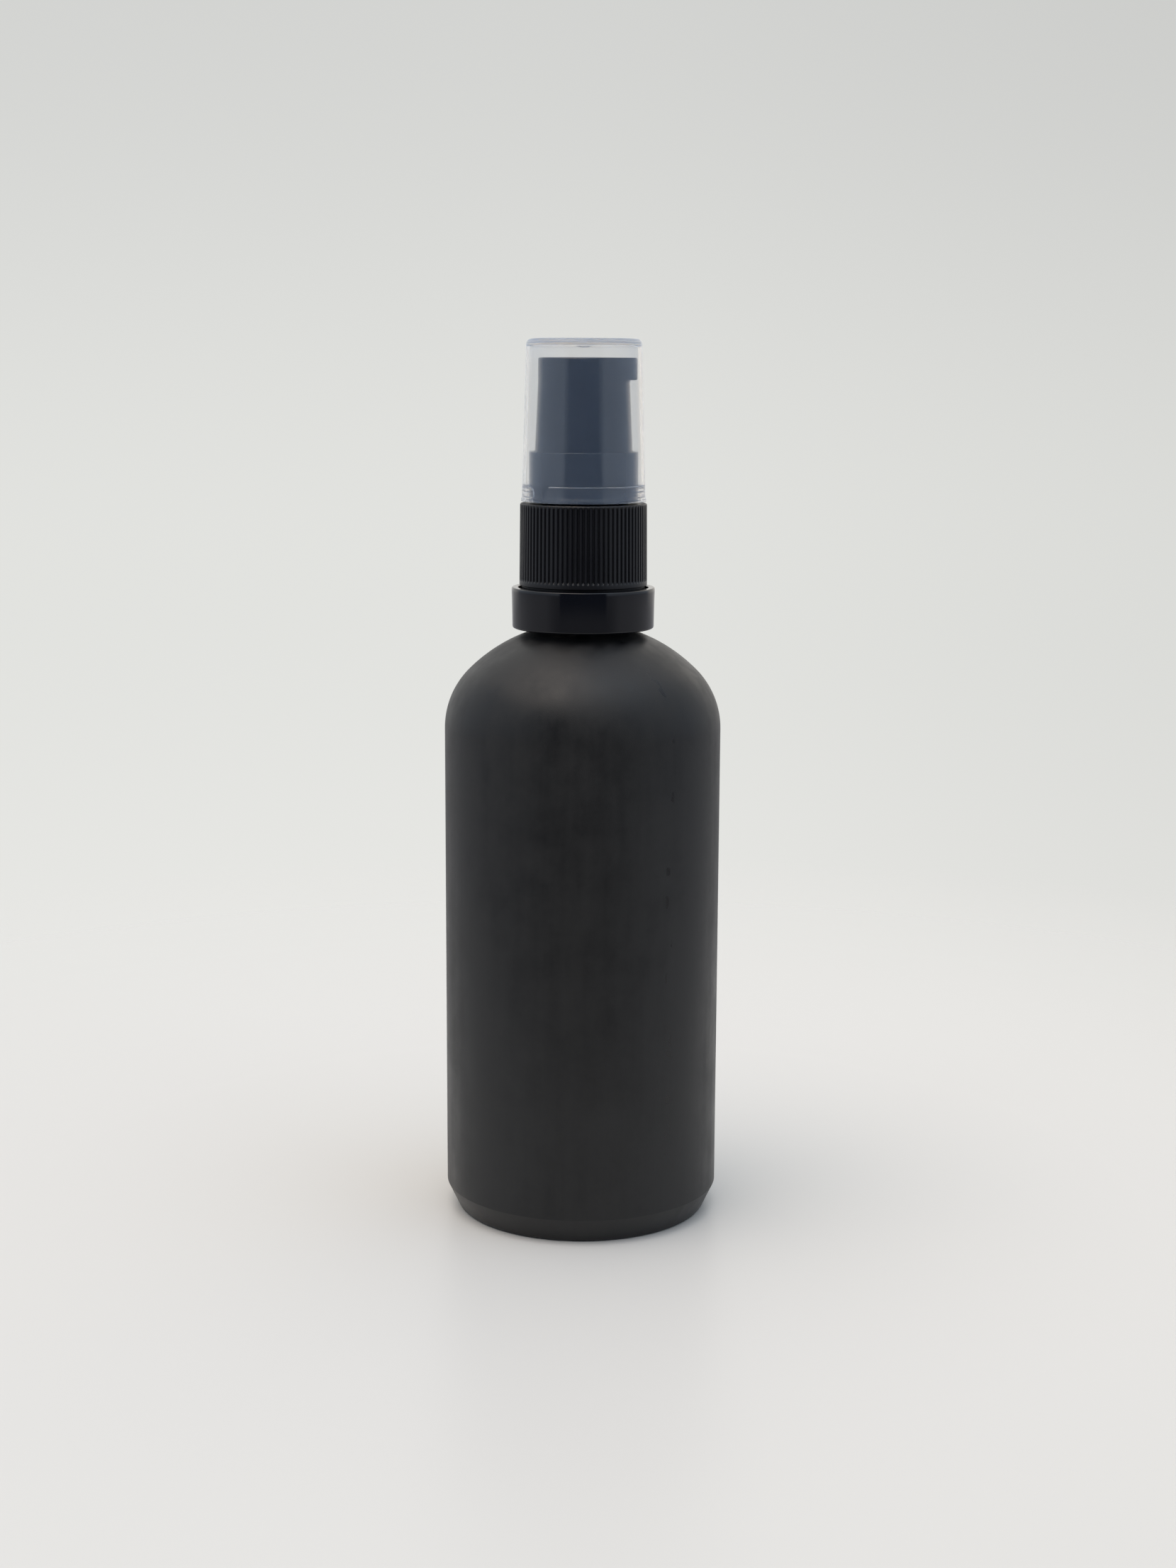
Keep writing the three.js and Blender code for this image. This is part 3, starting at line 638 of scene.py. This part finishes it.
class Finish(Nodes):
    """A material with one Principled BSDF, and short calls for the textures that feed it."""

    def __init__(self, name, **values):
        self.material = bpy.data.materials.new(name)
        super().__init__(self.material, "Object")
        self.shader = self.nodes["Principled BSDF"]
        for socket, value in values.items():
            self.shader.inputs[socket.replace("_", " ")].default_value = value

    def noise(self, scale, detail=3.0, stretch=(1, 1, 1), roughness=0.5):
        place = self.nodes.new("ShaderNodeMapping")
        place.inputs["Scale"].default_value = stretch
        self.links.new(self.place, place.inputs["Vector"])
        texture = self.nodes.new("ShaderNodeTexNoise")
        texture.inputs["Scale"].default_value = scale
        texture.inputs["Detail"].default_value = detail
        texture.inputs["Roughness"].default_value = roughness
        self.links.new(place.outputs["Vector"], texture.inputs["Vector"])
        return texture.outputs["Fac"]

    def spread(self, value, low, high, from_low=0.3, from_high=0.7):
        """A noise, or another value, spread from low to high."""
        return self.map_range(value, "LINEAR", from_low, from_high, low, high)

    def seam(self, angle, half_width):
        """1 on the upright plane through the axis at the given angle, 0 beyond half_width."""
        across = self.vector_math("DOT_PRODUCT", (math.sin(angle), -math.cos(angle), 0))
        return self.spread(self.math("ABSOLUTE", across), 1, 0, 0.5 * half_width, half_width)

    def bump(self, height, distance):
        node = self.nodes.new("ShaderNodeBump")
        node.inputs["Distance"].default_value = distance
        node.inputs["Strength"].default_value = 1.0
        self.links.new(height, node.inputs["Height"])
        self.feed("Normal", node.outputs["Normal"])

    def feed(self, socket, value):
        self.links.new(value, self.shader.inputs[socket])


def coated_glass():
    """Matt paint with rubbed clouds, fine upright streaks and chips along the two mould seams."""
    finish = Finish("matt_coat", Specular_IOR_Level=0.43, Sheen_Weight=0.06, Sheen_Roughness=0.4)
    clouds = finish.math("MULTIPLY", finish.noise(75, 5, roughness=0.65), 0.7)
    streaks = finish.math("MULTIPLY", finish.noise(420, 3, stretch=(1, 1, 0.1)), 0.3)
    chips = finish.math("MULTIPLY", finish.seam(SEAM_ANGLE, 0.0009),
                        finish.spread(finish.noise(260, 2), 0, 0.3, 0.57, 0.61))
    wear = finish.math("SUBTRACT", finish.math("ADD", clouds, streaks), chips)
    dark, pale = (0.0022, 0.0024, 0.0034), (0.0155, 0.0152, 0.0155)
    finish.feed("Base Color", finish.mix(finish.spread(wear, 0, 1, 0.36, 0.64), dark, pale))
    rough = finish.spread(wear, 0.36, 0.58, 0.36, 0.64)
    finish.feed("Roughness", finish.math("SUBTRACT", rough, finish.math("MULTIPLY", chips, 0.5)))
    finish.bump(finish.math("SUBTRACT", finish.noise(5200, 2), chips), 0.00001)
    return finish.material


def gloss_black():
    finish = Finish("gloss_black", Base_Color=(0.0032, 0.0038, 0.007, 1), Specular_IOR_Level=0.5)
    finish.feed("Roughness", finish.spread(finish.noise(180, 4), 0.06, 0.11))
    finish.bump(finish.noise(300, 2), 0.000004)
    return finish.material


def turret_black_painted_veil():
    """Less polished than the button above it. Its colour is lightened as a painted veil of the
    light the overcap's haze scatters over it.
    """
    # Base colour paler than the button's: painted haze light from the overcap, not the plastic's
    # own grey.
    finish = Finish("turret_black_painted_veil", Base_Color=(0.018, 0.0215, 0.029, 1), Specular_IOR_Level=0.55)
    finish.feed("Roughness", finish.spread(finish.noise(180, 4), 0.09, 0.15))
    finish.bump(finish.noise(300, 2), 0.000004)
    return finish.material


def satin_black():
    finish = Finish("satin_black", Specular_IOR_Level=0.45)
    cloud = finish.noise(120, 3)
    dark, pale = (0.0045, 0.005, 0.0075), (0.007, 0.0077, 0.011)
    finish.feed("Base Color", finish.mix(cloud, dark, pale))
    finish.feed("Roughness", finish.spread(cloud, 0.34, 0.46))
    finish.bump(finish.noise(4000, 2), 0.000006)
    return finish.material


def clear_plastic():
    """Clear plastic with a milky haze, which scatters light in its depth and at its surface."""
    finish = Finish("clear_milky", Base_Color=(1, 1, 1, 1), IOR=1.32, Transmission_Weight=1,
                    Sheen_Weight=0.14, Sheen_Roughness=1.0, Sheen_Tint=(0.5, 0.68, 1, 1))
    finish.feed("Roughness", finish.spread(finish.noise(140, 4), 0.03, 0.06))
    finish.bump(finish.noise(220, 2), 0.000002)
    haze = finish.nodes.new("ShaderNodeVolumeScatter")
    haze.inputs["Color"].default_value = (0.55, 0.7, 1, 1)
    haze.inputs["Density"].default_value = 130
    finish.links.new(haze.outputs["Volume"], finish.nodes["Material Output"].inputs["Volume"])
    return finish.material


def natural_plastic():
    finish = Finish("natural_plastic", Subsurface_Weight=0.4, Subsurface_Scale=0.002)
    cloud = finish.noise(150, 3)
    finish.feed("Base Color", finish.mix(cloud, (0.74, 0.74, 0.7), (0.8, 0.8, 0.77)))
    finish.feed("Roughness", finish.spread(cloud, 0.3, 0.42))
    finish.bump(finish.noise(1500, 2), 0.000006)
    return finish.material


def tube_plastic():
    finish = Finish("tube_plastic", Base_Color=(0.86, 0.88, 0.87, 1), IOR=1.5,
                    Transmission_Weight=0.6)
    finish.feed("Roughness", finish.spread(finish.noise(200, 3), 0.2, 0.3))
    return finish.material


def seal_foam():
    finish = Finish("seal_foam")
    cells = finish.noise(2600, 3)
    finish.feed("Base Color", finish.mix(cells, (0.6, 0.6, 0.57), (0.72, 0.72, 0.69)))
    finish.feed("Roughness", finish.spread(cells, 0.7, 0.85))
    finish.bump(cells, 0.00004)
    return finish.material


def steel():
    finish = Finish("bright_steel", Base_Color=(0.62, 0.63, 0.65, 1), Metallic=1.0)
    drawn = finish.noise(900, 3, stretch=(1, 1, 6))
    finish.feed("Roughness", finish.spread(drawn, 0.16, 0.3))
    finish.bump(drawn, 0.000004)
    return finish.material


PIECES = (
    ("bottle", make_bottle, "bottle", coated_glass, "coated_glass"),
    ("tamper_evident_ring", make_ring, "bottle", gloss_black, "gloss_black"),
    ("closure", make_closure, "closure", satin_black, "satin_black"),
    ("neck_gasket", make_gasket, "pump", seal_foam, "soft_seal"),
    ("pump_housing", make_housing, "pump", natural_plastic, "natural_plastic"),
    ("chaplet", make_chaplet, "pump", natural_plastic, "natural_plastic"),
    ("turret", make_turret, "pump", turret_black_painted_veil, "gloss_black"),
    ("stem", make_stem, "stem", natural_plastic, "natural_plastic"),
    ("piston", make_piston, "piston", natural_plastic, "natural_plastic"),
    ("piston_seat", make_seat, "stem", natural_plastic, "natural_plastic"),
    ("return_spring", make_spring, "pump", steel, "spring_steel"),
    ("inlet_ball", make_ball, "inlet_ball", steel, "spring_steel"),
    ("dip_tube", make_dip_tube, "pump", tube_plastic, "natural_plastic"),
    ("actuator", make_actuator, "actuator", gloss_black, "gloss_black"),
    ("overcap", make_overcap, "overcap", clear_plastic, "clear_plastic"),
)


def add_pieces():
    materials = {}
    for node, make, body, material, slot in PIECES:
        if material not in materials:
            materials[material] = material()
        piece = make()
        piece.data.materials.clear()
        piece.data.materials.append(materials[material])
        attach(piece, body)
        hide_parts(node)
        if node == "return_spring":
            press_spring(piece)


# ---- Stage, light and camera -------------------------------------------------------------

def stage_material():
    """A pale, slightly glossy table top that melts into the backdrop away from the bottle."""
    finish = Finish("stage_white", Base_Color=(0.72, 0.71, 0.685, 1), Specular_IOR_Level=0.15)
    finish.feed("Roughness", finish.spread(finish.noise(6, 3), 0.28, 0.36))
    fade_start, fade_end = 0.1, 0.3
    distance = finish.vector_math("LENGTH")
    finish.feed("Alpha", finish.spread(distance, 1, 0, fade_start, fade_end))
    return finish.material


def add_stage():
    """A round sheet just below the base, a single layer so that its edge can fade evenly."""
    sides, height = 96, -0.02
    angles = np.arange(sides) * FULL_TURN / sides
    points = [(0, 0, height)]
    for radius in np.linspace(30, 360, 12):
        points += [(radius * math.cos(a), radius * math.sin(a), height) for a in angles]
    faces = [[0, 1 + j, 1 + (j + 1) % sides] for j in range(sides)]
    for first in range(1, len(points) - sides, sides):
        for j in range(sides):
            k = (j + 1) % sides
            faces.append([first + j, first + sides + j, first + sides + k, first + k])
    floor = mesh_object("floor", np.array(points) * MM, faces)
    floor.data.materials.append(stage_material())


class Sky(Nodes):
    """The studio round the object, as a function of direction, built from soft-edged zones."""

    def __init__(self, name):
        self.world = bpy.data.worlds.new(name)
        super().__init__(self.world, "Generated")
        split = self.nodes.new("ShaderNodeSeparateXYZ")
        self.links.new(self.place, split.inputs["Vector"])
        self.x, self.y, self.z = split.outputs

    def step(self, value, low, high):
        """0 below low, 1 above high, or the other way round where low is above high."""
        if low > high:
            return self.map_range(value, "SMOOTHSTEP", high, low, 1, 0)
        return self.map_range(value, "SMOOTHSTEP", low, high, 0, 1)

    def finish(self, colour):
        self.links.new(colour, self.nodes["Background"].inputs["Color"])
        bpy.context.scene.world = self.world


def rise(degrees):
    """The height on the unit sphere of a direction that many degrees above the horizon."""
    return math.sin(math.radians(degrees))


def add_world():
    """Bright ceiling, paler sides and back, and the dark room in front beyond the table."""
    sky = Sky("studio")
    level = sky.math("SQRT", sky.math("SUBTRACT", 1, sky.math("MULTIPLY", sky.z, sky.z)))
    front = sky.math("DIVIDE", sky.math("MULTIPLY", sky.y, -1), sky.math("MAXIMUM", level, 0.001))
    side = sky.math("DIVIDE", sky.x, sky.math("MAXIMUM", level, 0.001))

    sides = sky.mix(sky.step(sky.z, rise(-7), rise(-1)), (0.18, 0.2, 0.24), (0.54, 0.6, 0.68))
    back = sky.mix(sky.step(side, -0.3, 0.3), (0.85, 0.85, 0.83), (0.95, 0.92, 0.87))
    walls = sky.mix(sky.step(front, -0.52, -0.74), sides, back)
    ceiling = sky.mix(sky.step(side, -0.6, 0.8), (3.3, 3.0, 2.75), (1.4, 1.6, 1.85))
    ceiling = sky.mix(sky.step(sky.y, -0.2, 0.5), ceiling, (0.9, 0.9, 0.9))
    table = sky.mix(sky.step(front, 0.4, 0.8), (0.38, 0.38, 0.4), (0.2, 0.2, 0.21))

    studio = sky.mix(sky.step(sky.z, rise(37), rise(64)), walls, ceiling)
    studio = sky.mix(sky.step(sky.z, rise(-3), rise(-8)), studio, table)
    room = sky.math("MULTIPLY", sky.step(front, 0.765, 0.815), sky.step(sky.z, rise(-12), rise(-8)))
    room = sky.math("MULTIPLY", room, sky.step(sky.z, rise(50), rise(32)))
    studio = sky.mix(room, studio, (0.055, 0.062, 0.078))

    backdrop = sky.mix(sky.step(sky.z, rise(-15), rise(-5)), (0.8, 0.8, 0.775), (0.76, 0.765, 0.74))
    backdrop = sky.mix(sky.step(sky.z, rise(-5), rise(10)), backdrop, (0.65, 0.655, 0.64))
    shade = sky.math("MULTIPLY", sky.step(side, -0.05, 0.3), 0.07)
    backdrop = sky.mix(shade, backdrop, (0, 0, 0))

    # The camera sees the backdrop, itself and straight through the overcap's two walls.
    path = sky.nodes.new("ShaderNodeLightPath")
    bounces = sky.math("SUBTRACT", path.outputs["Ray Depth"], path.outputs["Transmission Depth"])
    through = sky.math("MULTIPLY", path.outputs["Is Transmission Ray"],
                       sky.math("LESS_THAN", bounces, 1.5))
    seen = sky.math("MAXIMUM", path.outputs["Is Camera Ray"], through)
    sky.finish(sky.mix(seen, studio, backdrop))


def add_camera():
    """In front of the bottle at about its height, looking 10 degrees down."""
    camera = bpy.data.cameras.new("camera")
    camera.lens = 54.1
    camera.sensor_width = 36
    camera.clip_start = 0.01
    place = Matrix.Translation((0.00096, -0.4007, 0.1455))
    pitch = Matrix.Rotation(math.radians(80), 4, "X")
    roll = Matrix.Rotation(math.radians(0.25), 4, "Z")
    obj = bpy.data.objects.new("camera", camera)
    obj.matrix_world = place @ pitch @ roll
    bpy.context.scene.collection.objects.link(obj)
    bpy.context.scene.camera = obj


def set_light_paths():
    """Enough bounces for the light that the overcap's haze scatters between its walls."""
    scene = bpy.context.scene
    scene.view_settings.view_transform = "Standard"
    scene.cycles.use_denoising = True
    scene.cycles.volume_bounces = 16
    scene.cycles.max_bounces = 64
    scene.cycles.transmission_bounces = 64
    scene.cycles.glossy_bounces = 64


add_camera()
add_pieces()
add_stage()
add_world()
set_light_paths()
